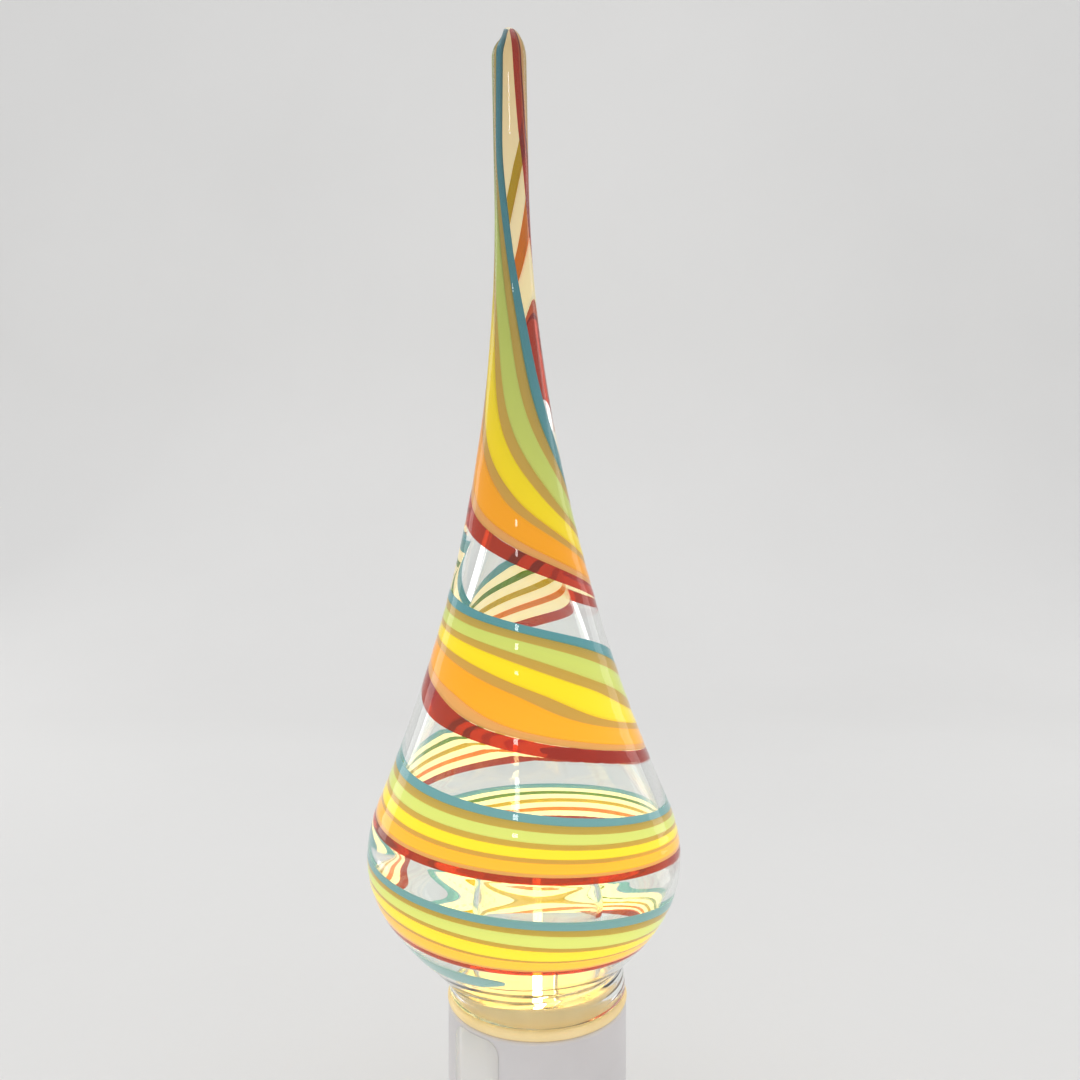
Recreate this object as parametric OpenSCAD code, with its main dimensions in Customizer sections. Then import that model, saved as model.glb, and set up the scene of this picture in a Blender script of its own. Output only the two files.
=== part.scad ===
// Plug-in night light: a blown glass teardrop on a small cylindrical lamp body that swivels on its plug.
// Millimetres. The origin is the middle of the plug's face on the wall. +Z is up, +Y goes into the wall.

/* [Glass shade] */
// Height of the glass from its lip to the tip of the spire
glass_h = 136; // [125:1:150]
// Widest outside diameter of the belly
belly_d = 44; // [38:0.5:50]
// Height of the widest place above the lip
belly_h = 19.3; // [17:0.1:24]
// Height of the straight neck above the lip
neck_h = 5.4; // [5.2:0.1:6.5]
// How far the blown body stands left of the neck
body_off = 1.45; // [0.8:0.05:1.6]
// Lean of the blown body to the left, in degrees
body_lean = 1.1; // [0:0.1:2]
// Height above the lip where the blown body leaves the neck
foot_h = 1.2; // [0.8:0.1:1.8]
// Glass thickness at the neck and the belly
glass_wall = 1.6; // [1.2:0.1:2.2]
// Diameter of the solid spire
spire_d = 5; // [4:0.1:7]
// Height above the lip where the taper has become the spire
spire_h = 113.5; // [100:0.5:118]
// Radius of the belly's shoulder above its widest place
belly_round = 18; // [14:0.5:22]
// Lean of the glass at the end of that shoulder, in degrees
taper_lean = 21; // [16:0.5:26]
// How far the taper keeps that lean
taper_lead = 5.7; // [3:0.1:10]
// How far the belly's curve stays upright below its widest place
belly_under = 9; // [6:0.5:10]
// Swell of the blown body where it leaves the neck
foot_swell = 1.3; // [0.8:0.1:2]
// How far the taper runs out along the spire
spire_run = 48; // [40:1:56]
// Height of the hollow above the lip
hollow_h = 83; // [76:1:90]
// How far the hollow's point runs up
hollow_run = 22; // [16:1:28]

/* [Bulb] */
// Diameter of the clear bulb
bulb_d = 18; // [16:0.1:19]
// Overall length of the bulb with its cap
bulb_l = 44; // [42:0.5:54]
// Glass thickness of the bulb
bulb_wall = 0.7; // [0.5:0.1:1]
// Mid diameter of the bulb's screw thread
thread_d = 11.3; // [11:0.05:11.6]
// Pitch of the screw thread
thread_pitch = 2.54; // [2.4:0.02:2.6]
// Half height of the rolled thread
thread_amp = 0.22; // [0.15:0.01:0.25]
// Height of the threaded cap
cap_h = 14; // [13.8:0.1:15]
// Length of the glowing filament
filament_l = 9; // [7:0.5:14]
// Diameter of the glowing filament
filament_d = 1.3; // [1:0.1:1.8]

/* [Seat ring] */
// Thickness of the ring's flange between body and glass
seat_t = 1.3; // [1:0.1:2]
// Height of the ring's upstand inside the glass neck
upstand_h = 2.1; // [1.5:0.1:4]
// Thickness of the upstand
upstand_t = 0.7; // [0.5:0.05:1.2]
// Depth of the ring's skirt inside the cup
skirt_h = 4; // [2:0.1:4.4]
// Radial gap around the bulb where it passes the ring
bulb_gap = 0.9; // [0.6:0.1:1.5]

/* [Lamp body] */
// Distance of the lamp's vertical axis from the wall
axis_off = 30; // [28:0.5:36]
// Height of the cup's rim above the plug's axis
rim_z = 21.4; // [20:0.1:26]
// Depth of the cup's lower edge below the plug's axis
base_drop = 20; // [19.5:0.1:26]
// Wall of the cup
cup_wall = 1.6; // [1.2:0.1:2.2]
// How far the cup stands outside the glass neck
cup_lip = 0.1; // [0:0.05:0.5]
// Wall of the drum behind the contact plate
drum_wall = 2; // [1.8:0.1:2.4]
// Step that seats the contact plate in the drum
drum_step = 0.5; // [0.3:0.1:0.8]
// Thickness of the drum's end wall
drum_end = 2; // [1.5:0.1:2.5]
// Thickness of the bottom cap
base_t = 2.4; // [2.2:0.1:4]
// Rounding of the body's outer edges
edge_r = 0.5; // [0.2:0.1:0.8]

/* [Plug] */
// Diameter of the plug
plug_d = 26; // [24:0.5:30]
// Thickness of the plug
plug_t = 8.5; // [7.5:0.1:10]
// Distance between the blades
blade_gap = 12.7; // [12.5:0.1:12.9]
// Thickness of a blade
blade_t = 1.5; // [1.4:0.05:1.6]
// Width of the live blade
live_w = 6.35; // [6:0.05:6.6]
// Width of the neutral blade
neutral_w = 7.94; // [7.5:0.02:8.2]
// Length of the blades outside the plug
blade_l = 16.5; // [15:0.1:18]
// Depth of the blades inside the plug
blade_embed = 4; // [3:0.1:6]
// Diameter of the hole near each blade's end
blade_hole_d = 3.2; // [3:0.1:4]
// Distance of that hole from the plug's face
blade_hole_y = 11.7; // [11:0.1:12]
// Grooves around the plug for the fingers
flute_n = 24; // [12:1:36]

/* [Swivel] */
// Cover of the hub that turns in the drum's end wall, outside the blades' tails
hub_cover = 0.85; // [0.6:0.05:1.2]
// How far the retaining washer reaches over the hub
washer_lip = 1; // [0.8:0.1:1.2]
// Gap between that washer and the drum
washer_gap = 0.4; // [0.3:0.05:0.6]
// Thickness of the retaining washer
washer_t = 1; // [0.8:0.1:1.5]
// Height of the washer's screws above and below the axis
swivel_screw_off = 4.9; // [4.4:0.1:5.4]
// Thickness of the contact plate
slip_t = 1; // [0.8:0.1:1.5]
// Distance of the contact plate from the washer
slip_gap = 5; // [4.6:0.1:6]
// Height of the live post above the contact plate
post_h = 2.4; // [2:0.1:2.6]

/* [Switch] */
// Travel of the slider between on and off
switch_travel = 4; // [3:0.1:4.4]
// Width of the slider's grip
grip_w = 4.6; // [3.6:0.1:5.4]
// Height of the slider's grip
grip_h = 5; // [4:0.1:5.6]
// How far the grip stands outside the cup
grip_proud = 1.5; // [1:0.1:3]

/* [Screws] */
// Shank diameter of the small screws
screw_d = 2; // [1.8:0.1:2.2]
// Head diameter of the small screws
screw_head_d = 3.6; // [3.2:0.1:3.8]
// Head height of the small screws
screw_head_h = 1.3; // [1:0.1:1.4]

/* [Clearances] */
// Gap of turning and sliding pieces
run_gap = 0.25; // [0.15:0.05:0.35]
// Gap of pieces that are pushed together
fit_gap = 0.05; // [0.02:0.01:0.1]

/* [Hidden] */
$fn = 96;
eps = 0.01;

// Seat, neck and cup grow outwards from the bulb
seat_bore_r = bulb_d / 2 + bulb_gap;
neck_in = seat_bore_r + upstand_t + run_gap;
neck_r = neck_in + glass_wall;
cup_r = neck_r + cup_lip;
cup_in = cup_r - cup_wall;
seat_r = cup_r + cup_lip;
lip_z = rim_z + seat_t;

// Glass outline stations
belly_r = belly_d / 2;
belly_in = belly_r - glass_wall;
belly_z = lip_z + belly_h;
spire_r = spire_d / 2;
spire_z = lip_z + spire_h;
tip_z = lip_z + glass_h;
hollow_z = lip_z + hollow_h;
neck_z = lip_z + neck_h;
foot_r = neck_r - body_off - 0.1;
foot_z = lip_z + foot_h;
foot_rise = 3.6;
lip_round = 0.4;
glass_steps = 14;

// Socket, hung from the rim
socket_drop = 0.6;
socket_top = rim_z - skirt_h - socket_drop;
shell_h = 14.6;
shell_t = 0.4;
shell_gap = 0.3;
shell_mid_r = thread_d / 2 + shell_gap;
shell_out_r = shell_mid_r + thread_amp + shell_t;
shell_z = socket_top - shell_h;
contact_room = 2.2;
floor_z = shell_z - contact_room;
floor_t = 2;
flange_up = 2;
flange_gap = 0.35;
flange_r = cup_in - flange_gap;
tube_wall = 1.4;
tube_r = shell_out_r + fit_gap + tube_wall;
web_t = 1.6;
web_z = floor_z - floor_t - web_t;
web_hole_gap = 0.5;
web_hole_r = shell_out_r + web_hole_gap;
sock_screw_r = cup_in - screw_d - fit_gap;
tab_drop = 2.9;
tab_z = web_z - tab_drop;
tab_t = 0.4;
leaf_t = 0.4;
leaf_front = 3.5;
leaf_w = 4;
leaf_tail_w = 2;
shell_tab_w = 3;
tip_gap = 1;
tip_z0 = floor_z + tip_gap;

// Bulb heights
tip_h = 1.2;
tip_r = 2.4;
insulator_h = 2;
cap_z = tip_z0 + tip_h + insulator_h;
cap_top = cap_z + cap_h;
bulb_top = tip_z0 + bulb_l;
bulb_r = bulb_d / 2;
bulb_flare = 8;
cap_wall = 0.65;
bulb_neck_r = thread_d / 2 - thread_amp - cap_wall - fit_gap;
cap_bore_r = bulb_neck_r + fit_gap;
stem_sunk = 6;
stem_z = cap_top - stem_sunk;
stem_rise = 1.5;
stem_top = cap_top + stem_rise;
stem_r = 1.7;
filament_gap = 0.8;
filament_z = stem_top + filament_gap;
wire_r = 0.3;
wire_x = 2.6;

// Plug and swivel depths, measured from the wall
hub_l = run_gap * 2 + drum_end;
drum_back = plug_t + run_gap;
drum_face = drum_back + drum_end;
hub_end = plug_t + hub_l;
washer_end = hub_end + washer_t;
slip_d = washer_end + slip_gap;
slip_end = slip_d + slip_t;
tail_t = 0.8;
tail_w = 3;
hub_r = blade_gap / 2 + tail_t / 2 + hub_cover;
washer_r = hub_r + washer_lip;
drum_in = washer_r + washer_gap;
drum_r = drum_in + drum_wall;
slip_seat_r = drum_in + drum_step;
ring_t = 0.4;
ring_half = 1.25;
post_r = 2;
rivet_turn = 229;
rivet = blade_gap / 2 * [cos(rivet_turn), sin(rivet_turn)];
rivet_r = 0.8;
live_contact_d = slip_d - post_h - fit_gap;
neutral_contact_d = slip_d - ring_t - fit_gap;
post_tab_drop = 4.8;
post_tab_z = web_z - post_tab_drop;
post_tab_t = 0.6;
rivet_out = 1;
lead_r = 0.7;
lead_in = 0.9;

// Bottom cap and its bosses
boss_r = 2.2;
boss_inset = 1.75;
boss_off = cup_in - boss_inset;
boss_h = 10;
cap_screw_bite = 5;
base_z = -base_drop;

// Switch, measured from the lamp's axis and the bottom cap
plate_hw = 4.4;
plate_h = 9;
plate_t = 1.5;
plate_front = sqrt(cup_in * cup_in - plate_hw * plate_hw) - run_gap;
plate_back = plate_front - plate_t;
block_hw = 3.6;
block_t = 1.2;
bridge_t = 0.4;
bridge_hw = 3;
bridge_h = 3;
strip_t = 0.35;
strip_w = 2.2;
frame_t = 1.2;
strip_over = 0.5;
block_back = plate_back - block_t;
contact_face = block_back - bridge_t - fit_gap;
frame_face = contact_face - strip_t;
frame_back = frame_face - frame_t;
rail_gap = 0.4;
frame_hw = block_hw + rail_gap + frame_t;
stop_gap = 0.7;
frame_h = switch_travel + plate_h + stop_gap + strip_over;
plate_z = base_z + switch_travel + stop_gap;
grip_z = plate_z + (plate_h - grip_h) / 2;
bridge_up = 4.9;
bridge_z = plate_z + bridge_up;
slot_gap = 0.3;
slot_hw = grip_w / 2 + slot_gap;
pin_out = 0.8;
pin_end = frame_back - pin_out;
pin_h = 0.8;
rail_x = frame_hw - frame_t / 2;
peg_d = 1;
peg_l = 1.2;

// Points along a cubic curve
function on_curve(p, t) = p[0] * pow(1 - t, 3) + 3 * p[1] * t * pow(1 - t, 2)
    + 3 * p[2] * t * t * (1 - t) + p[3] * pow(t, 3);
function curve(p, n) = [for (i = [0:n]) on_curve(p, i / n)];
function arc(c, r, a0, a1, n) = [for (i = [0:n]) let (a = a0 + (a1 - a0) * i / n) c + r * [cos(a), sin(a)]];
function reversed(v) = [for (i = [len(v) - 1:-1:0]) v[i]];
function unit(v) = v / norm(v);

// Half outline of the belly, from its foot in the neck up to the widest place
function low_curve(foot, belly) = curve([
    [foot, foot_z], [foot + foot_swell, foot_z + foot_rise],
    [belly, belly_z - belly_under], [belly, belly_z]], glass_steps);

// Half outline of the shoulder and taper, from the widest place up to a top point
function high_curve(belly, shoulder, run_from, top) = let (
        c = [belly - shoulder, belly_z],
        leave = c + shoulder * [cos(taper_lean), sin(taper_lean)],
        lead = leave + taper_lead * [-sin(taper_lean), cos(taper_lean)])
    concat(arc(c, shoulder, 0, taper_lean, 6),
        [for (i = [1:2 * glass_steps]) on_curve([leave, lead, run_from, top], i / (2 * glass_steps))]);

// Rolled thread: radius at a height
function thread_at(mid, z) = mid + thread_amp * cos(360 * (z - shell_z) / thread_pitch);
function thread_line(mid, z0, z1) = let (n = round((z1 - z0) / thread_pitch * 8))
    [for (i = [0:n]) let (z = z0 + (z1 - z0) * i / n) [thread_at(mid, z), z]];

// Left side of a fixed strip, and the height of its pin: left below, right above
function strip_x(s) = s * (bridge_hw - strip_w / 2) - strip_w / 2;
function contact_pin_z(s) = s < 0 ? plate_z + 2.3 : bridge_z + 1;

// Lamp axis, upright in front of the wall
module on_axis() { translate([0, -axis_off, 0]) children(); }

// Local z runs away from the wall, local y is up
module from_wall(d = 0) { translate([0, -d, 0]) rotate([90, 0, 0]) children(); }

// Disc with rounded edges at its foot and, if asked, its head
module rounded_disc(r, h, foot, head) {
    rotate_extrude() {
        square([r - max(foot, head), h]);
        translate([0, foot]) square([r, h - foot - head]);
        square([r - foot, h - head]);
        translate([0, foot]) square([r - head, h - foot]);
        translate([r - foot, foot]) circle(foot);
        translate([r - head, h - head]) circle(head);
    }
}

// Pan-head screw with a cross recess: the head stands on z = 0, the shank goes down
module pan_screw(l) {
    recess_w = 0.5;
    recess_l = screw_head_d * 0.56;
    recess_h = screw_head_h * 0.6;
    crown = screw_head_h * 0.45;
    difference() {
        union() {
            cylinder(d = screw_head_d, h = screw_head_h - crown);
            translate([0, 0, screw_head_h - crown])
                cylinder(d1 = screw_head_d, d2 = screw_head_d * 0.62, h = crown);
            translate([0, 0, screw_d / 2 - l]) cylinder(d = screw_d, h = l - screw_d / 2);
            translate([0, 0, -l]) cylinder(d1 = screw_d * 0.3, d2 = screw_d, h = screw_d / 2);
        }
        for (a = [0, 90]) rotate([0, 0, a])
            translate([-recess_l / 2, -recess_w / 2, screw_head_h - recess_h])
                cube([recess_l, recess_w, recess_h + eps]);
    }
}

// Insulated wire swept along a cubic curve that never runs along X
module wire(p, r) {
    sides = 10;
    steps = 14;
    pts = curve(p, steps);
    tangents = [for (i = [0:steps])
        unit(i == 0 ? p[1] - p[0] : i == steps ? p[3] - p[2] : pts[i + 1] - pts[i - 1])];
    rings = [for (i = [0:steps]) let (n = unit(cross(tangents[i], [1, 0, 0])), b = cross(tangents[i], n))
        for (k = [0:sides - 1]) pts[i] + r * (n * cos(360 * k / sides) + b * sin(360 * k / sides))];
    sides_faces = [for (i = [0:steps - 1], k = [0:sides - 1])
        let (a = i * sides + k, b = i * sides + (k + 1) % sides)
        each [[a, b, a + sides], [b, b + sides, a + sides]]];
    start_cap = [for (k = [1:sides - 2]) [0, k + 1, k]];
    last = steps * sides;
    end_cap = [for (k = [1:sides - 2]) [last, last + k, last + k + 1]];
    polyhedron(points = rings, faces = concat(sides_faces, start_cap, end_cap));
}

// Plug that stays in the wall, with the hub that the lamp turns on
module plug_body() {
    flute_r = 1.1;
    flute_depth = 0.45;
    pilot = hub_l + 2.5;
    color("whitesmoke") difference() {
        union() {
            from_wall() rounded_disc(plug_d / 2, plug_t, 0.8, 0.8);
            from_wall(plug_t) cylinder(r = hub_r, h = hub_l);
        }
        for (s = [[-1, neutral_w], [1, live_w]]) from_wall() translate([s[0] * blade_gap / 2, 0, 0]) {
            translate([0, 0, -eps]) linear_extrude(blade_embed + eps)
                square([blade_t, s[1]], center = true);
            linear_extrude(hub_end + eps) square([tail_t, tail_w], center = true);
        }
        for (s = [-1, 1]) from_wall(hub_end - pilot) translate([0, s * swivel_screw_off, 0])
            cylinder(d = screw_d + 2 * fit_gap, h = pilot + eps);
        for (i = [0:flute_n - 1]) rotate([0, 360 * i / flute_n, 0])
            from_wall(plug_t * 0.3) translate([plug_d / 2 + flute_r - flute_depth, 0, 0])
                cylinder(r = flute_r, h = plug_t * 0.7 - 1.2, $fn = 24);
    }
}

// One blade with its hole, chamfered end and the tail that reaches into the drum
module blade(w, tail_end) {
    chamfer = 1.1;
    translate([-blade_t / 2, 0, 0]) rotate([90, 0, 90]) linear_extrude(blade_t) difference() {
        polygon([
            [-blade_embed, -w / 2], [blade_l - chamfer, -w / 2], [blade_l, chamfer - w / 2],
            [blade_l, w / 2 - chamfer], [blade_l - chamfer, w / 2], [-blade_embed, w / 2]]);
        translate([blade_hole_y, 0]) circle(d = blade_hole_d);
    }
    translate([-tail_t / 2, -tail_end, -tail_w / 2]) cube([tail_t, tail_end - blade_embed + eps, tail_w]);
}

module neutral_blade() {
    color("gold") translate([-blade_gap / 2, 0, 0]) blade(neutral_w, neutral_contact_d);
}

// The live tail bends to the swivel's centre
module live_blade() {
    arm_t = 0.7;
    arm_w = 2.4;
    arm_end = 1.5;
    color("gold") {
        translate([blade_gap / 2, 0, 0]) blade(live_w, live_contact_d);
        translate([-arm_end, -live_contact_d, -arm_w / 2]) cube([arm_end + blade_gap / 2, arm_t, arm_w]);
    }
}

// Washer that keeps the hub in the drum
module swivel_washer() {
    color("silver") from_wall(hub_end) linear_extrude(washer_t) difference() {
        circle(r = washer_r);
        for (s = [-1, 1]) {
            translate([s * blade_gap / 2, 0])
                square([tail_t + 2 * fit_gap, tail_w + 2 * fit_gap], center = true);
            translate([0, s * swivel_screw_off]) circle(d = screw_d + 4 * fit_gap);
        }
    }
}

module swivel_screws() {
    color("silver") for (s = [-1, 1]) from_wall(washer_end) translate([0, s * swivel_screw_off, 0])
        pan_screw(washer_t + hub_l + 2);
}

// Cup and drum in one moulding, with the web that carries the socket and the bosses for the bottom cap
module lamp_body() {
    through = rim_z + base_drop + 2;
    color("ghostwhite") {
        difference() {
            union() {
                on_axis() translate([0, 0, base_z]) rounded_disc(cup_r, rim_z + base_drop, 0.2, edge_r);
                from_wall(drum_back) rounded_disc(drum_r, axis_off - drum_back, 2 * edge_r, edge_r);
            }
            on_axis() translate([0, 0, base_z - 1]) cylinder(r = cup_in, h = through);
            from_wall(slip_d) cylinder(r = slip_seat_r, h = axis_off - slip_d);
            from_wall(drum_face) cylinder(r = drum_in, h = axis_off - drum_face);
            from_wall(drum_back - 1) cylinder(r = hub_r + run_gap, h = drum_end + 2);
            on_axis() translate([-slot_hw, -cup_r - 1, grip_z - switch_travel - slot_gap])
                cube([2 * slot_hw, cup_r, grip_h + switch_travel + 2 * slot_gap]);
        }
        on_axis() {
            translate([0, 0, web_z]) difference() {
                cylinder(r = cup_in + 0.4, h = web_t);
                translate([0, 0, -1]) cylinder(r = web_hole_r, h = web_t + 2);
                for (s = [-1, 1]) translate([s * sock_screw_r, 0, -1])
                    cylinder(d = screw_d + 4 * fit_gap, h = web_t + 2);
            }
            for (s = [-1, 1]) translate([s * boss_off, 0, base_z]) difference() {
                cylinder(r = boss_r, h = boss_h);
                translate([0, 0, -1]) cylinder(d = screw_d + 2 * fit_gap, h = boss_h - 0.5);
            }
        }
    }
}

module bottom_cap() {
    spigot_h = 2;
    spigot_t = 1;
    notch = frame_hw + 1.2;
    color("ghostwhite") on_axis() difference() {
        union() {
            translate([0, 0, base_z - base_t]) rounded_disc(cup_r, base_t, 2 * edge_r, 0.2);
            translate([0, 0, base_z - eps]) difference() {
                cylinder(r = cup_in - fit_gap, h = spigot_h);
                translate([0, 0, -1]) cylinder(r = cup_in - fit_gap - spigot_t, h = spigot_h + 2);
                translate([-notch, -cup_r, -1]) cube([2 * notch, cup_r, spigot_h + 2]);
                for (s = [-1, 1]) translate([s * boss_off, 0, -1])
                    cylinder(r = boss_r + run_gap, h = spigot_h + 2);
            }
        }
        for (s = [-1, 1]) translate([s * boss_off, 0, base_z - base_t - 1]) {
            cylinder(d = screw_d + 4 * fit_gap, h = base_t + 2);
            cylinder(d = screw_head_d + 4 * fit_gap, h = screw_head_h + 1);
        }
        for (s = [-1, 1]) translate([s * rail_x, -frame_face + frame_t / 2, base_z - peg_l - 2 * fit_gap])
            cylinder(d = peg_d + 2 * fit_gap, h = peg_l + 1, $fn = 32);
    }
}

module cap_screws() {
    color("silver") on_axis() for (s = [-1, 1])
        translate([s * boss_off, 0, base_z - base_t + screw_head_h]) rotate([180, 0, 0])
            pan_screw(base_t + cap_screw_bite);
}

// Insulating plate in the drum that carries the two swivel contacts
module contact_plate() {
    color("tan") from_wall(slip_d) linear_extrude(slip_t) difference() {
        circle(r = slip_seat_r - fit_gap);
        circle(r = post_r / 2 + fit_gap);
        translate(rivet) circle(r = rivet_r + fit_gap);
    }
}

module live_post() {
    tab_w = 2.4;
    color("gold") {
        from_wall(slip_d - post_h) cylinder(r = post_r, h = post_h);
        from_wall(slip_d - eps) cylinder(r = post_r / 2, h = slip_t + post_tab_t);
        translate([-tab_w / 2, -slip_end - post_tab_t, post_tab_z])
            cube([tab_w, post_tab_t, tab_w / 2 - post_tab_z]);
    }
}

module neutral_ring() {
    color("gold") {
        from_wall(slip_d - ring_t) linear_extrude(ring_t) difference() {
            circle(r = blade_gap / 2 + ring_half);
            circle(r = blade_gap / 2 - ring_half);
        }
        from_wall(slip_d - eps) translate(rivet) cylinder(r = rivet_r, h = slip_t + rivet_out, $fn = 32);
    }
}

// Heat-proof holder of the screw shell
module socket_insulator() {
    pilot = floor_t + 1.2;
    color("ivory") on_axis() difference() {
        union() {
            translate([0, 0, floor_z - floor_t]) cylinder(r = flange_r, h = floor_t + flange_up);
            translate([0, 0, floor_z]) cylinder(r = tube_r, h = socket_top - floor_z - 0.3);
        }
        translate([0, 0, floor_z]) cylinder(r = shell_out_r + fit_gap, h = socket_top);
        for (s = [-1, 1]) translate([s * sock_screw_r, 0, floor_z - floor_t - eps])
            cylinder(d = screw_d + 2 * fit_gap, h = pilot + eps);
        for (t = [[leaf_tail_w, -leaf_front], [shell_tab_w, shell_mid_r]])
            translate([-t[0] / 2 - 2 * fit_gap, t[1] - fit_gap, floor_z - floor_t - 1])
                cube([t[0] + 4 * fit_gap, tab_t + 2 * fit_gap, floor_t + 2]);
    }
}

// Rolled screw shell with its solder tab at the back
module screw_shell() {
    inner = thread_line(shell_mid_r, shell_z, socket_top);
    outer = [for (p = inner) p + [shell_t, 0]];
    color("goldenrod") on_axis() {
        rotate_extrude() polygon(concat(outer, reversed(inner)));
        translate([-shell_tab_w / 2, shell_mid_r, tab_z])
            cube([shell_tab_w, tab_t, shell_z + 2 * tab_t - tab_z]);
    }
}

// Sprung leaf under the bulb's tip
module centre_contact() {
    color("gold") on_axis() {
        translate([-leaf_w / 2, -leaf_front, floor_z]) cube([leaf_w, leaf_front + leaf_w / 2, leaf_t]);
        translate([0, 0, floor_z + leaf_t - eps])
            cylinder(r1 = 1.6, r2 = 1, h = tip_z0 - floor_z - leaf_t - fit_gap);
        translate([-leaf_tail_w / 2, -leaf_front, tab_z])
            cube([leaf_tail_w, tab_t, floor_z - tab_z + leaf_t]);
    }
}

module socket_screws() {
    color("silver") on_axis() for (s = [-1, 1])
        translate([s * sock_screw_r, 0, web_z]) rotate([180, 0, 0]) pan_screw(web_t + floor_t + 1);
}

// Guide behind the slider, pegged to the bottom cap
module switch_frame() {
    color("dimgray") on_axis() difference() {
        union() {
            translate([-frame_hw, -frame_face, base_z]) cube([2 * frame_hw, frame_t, frame_h]);
            for (s = [-1, 1]) translate([s * rail_x - frame_t / 2, -plate_back + run_gap, base_z])
                cube([frame_t, plate_back - run_gap - frame_face + eps, frame_h]);
            for (s = [-1, 1]) translate([s * rail_x, -frame_face + frame_t / 2, base_z - peg_l])
                cylinder(d = peg_d, h = peg_l + eps, $fn = 32);
        }
        for (s = [-1, 1]) translate([strip_x(s), -frame_face - 1, contact_pin_z(s)])
            cube([strip_w, frame_t + 2, pin_h]);
    }
}

// Two fixed strips: the left one always meets the bridge, the right one only when the slider is up
module switch_contacts() {
    top = bridge_z + bridge_h + strip_over;
    color("gold") on_axis() for (s = [-1, 1]) {
        foot = (s < 0 ? bridge_z - switch_travel : bridge_z) - strip_over;
        translate([strip_x(s), -contact_face, foot]) cube([strip_w, strip_t, top - foot]);
        translate([strip_x(s), -contact_face, contact_pin_z(s)])
            cube([strip_w, contact_face - pin_end, pin_h]);
    }
}

// Link from the switched strip up to the leaf's tail
module switch_strip() {
    x0 = -1;
    color("gold") on_axis() translate([x0, -pin_end, contact_pin_z(1)])
        cube([bridge_hw - x0, pin_end - leaf_front, tab_z + 2 - contact_pin_z(1)]);
}

// Wire from the live post to the switch
module live_lead() {
    start = [0, -slip_end - post_tab_t, post_tab_z + lead_in];
    end = [-(bridge_hw - strip_w / 2), -axis_off - pin_end, contact_pin_z(-1) + pin_h / 2];
    color("black") wire([start, start + [0, -7, 0], end + [0, 7, 0], end], lead_r);
}

// Wire from the neutral ring to the screw shell's tab
module neutral_lead() {
    start = [rivet[0], -slip_end - rivet_out + eps, rivet[1]];
    end = [0, -axis_off + shell_mid_r + tab_t, tab_z + lead_in];
    color("white") wire([start, start + [0, -2, 0], end + [0, 2, 0], end], lead_r);
}

// Soft ring between the cup's rim and the glass
module seat_ring() {
    round_r = seat_t / 2;
    color("linen") on_axis() rotate_extrude() {
        translate([seat_bore_r, rim_z]) square([seat_r - round_r - seat_bore_r, seat_t]);
        translate([seat_r - round_r, rim_z + round_r]) circle(round_r);
        translate([seat_bore_r, rim_z - skirt_h]) square([cup_in - fit_gap - seat_bore_r, skirt_h + eps]);
        translate([seat_bore_r, lip_z - eps]) square([upstand_t, upstand_h - upstand_t / 2 + eps]);
        translate([seat_bore_r + upstand_t / 2, lip_z + upstand_h - upstand_t / 2]) circle(upstand_t / 2);
    }
}

// Solid of revolution on the blown body's own leaning axis
module blown(half) {
    translate([-body_off, 0, lip_z]) rotate([0, -body_lean, 0]) translate([0, 0, -lip_z])
        rotate_extrude() polygon(half);
}

// Blown glass: straight neck, hollow leaning belly, solid spire
module glass_shade() {
    outer = concat(
        [[0, foot_z]], low_curve(foot_r, belly_r),
        high_curve(belly_r, belly_round, [spire_r, spire_z - spire_run], [spire_r, spire_z]),
        arc([0, tip_z - spire_r], spire_r, 0, 90, 8));
    inner = concat(
        [[0, foot_z]], low_curve(foot_r - glass_wall, belly_in),
        high_curve(belly_in, belly_round - glass_wall, [spire_r, hollow_z - hollow_run], [0, hollow_z]));
    color("khaki", 0.6) on_axis() difference() {
        union() {
            blown(outer);
            rotate_extrude() polygon([
                [0, lip_z], [neck_r - lip_round, lip_z], [neck_r, lip_z + lip_round],
                [neck_r, neck_z], [0, neck_z]]);
        }
        blown(inner);
        rotate_extrude() polygon([
            [0, lip_z - lip_round], [neck_in + 2 * lip_round, lip_z - lip_round],
            [neck_in, lip_z + lip_round], [neck_in, neck_z + eps], [0, neck_z + eps]]);
    }
}

// Half outline of the bulb, drawn in by a wall
function bulb_line(wall) = concat(
    curve([[bulb_neck_r - wall, cap_top], [bulb_neck_r - wall + 0.6, cap_top + 0.3 * bulb_flare],
        [bulb_r - wall, cap_top + 0.4 * bulb_flare], [bulb_r - wall, cap_top + bulb_flare]], 10),
    arc([0, bulb_top - bulb_r], bulb_r - wall, 0, 90, 14));

module bulb_glass() {
    color("azure", 0.4) on_axis() rotate_extrude() polygon(concat(
        [[bulb_neck_r, stem_z]], bulb_line(0),
        reversed(bulb_line(bulb_wall)), [[bulb_neck_r - bulb_wall, stem_z]]));
}

// Threaded cap that turns in the screw shell
module bulb_cap() {
    thread = thread_line(thread_d / 2, cap_z, cap_top - 1);
    rim_r = thread_d / 2 + thread_amp + 0.1;
    color("silver") on_axis() rotate_extrude() polygon(concat(
        thread, [[rim_r, cap_top - 0.8], [rim_r, cap_top], [cap_bore_r, cap_top], [cap_bore_r, cap_z]]));
}

module bulb_insulator() {
    color("black") on_axis() translate([0, 0, tip_z0 + tip_h])
        cylinder(r1 = tip_r + 0.2, r2 = cap_bore_r, h = insulator_h);
}

module bulb_tip() {
    color("silver") on_axis() rotate_extrude() polygon(concat(
        [[0, tip_z0 + tip_h], [0, tip_z0]], arc([tip_r - tip_h, tip_z0 + tip_h], tip_h, -90, 0, 6)));
}

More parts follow.
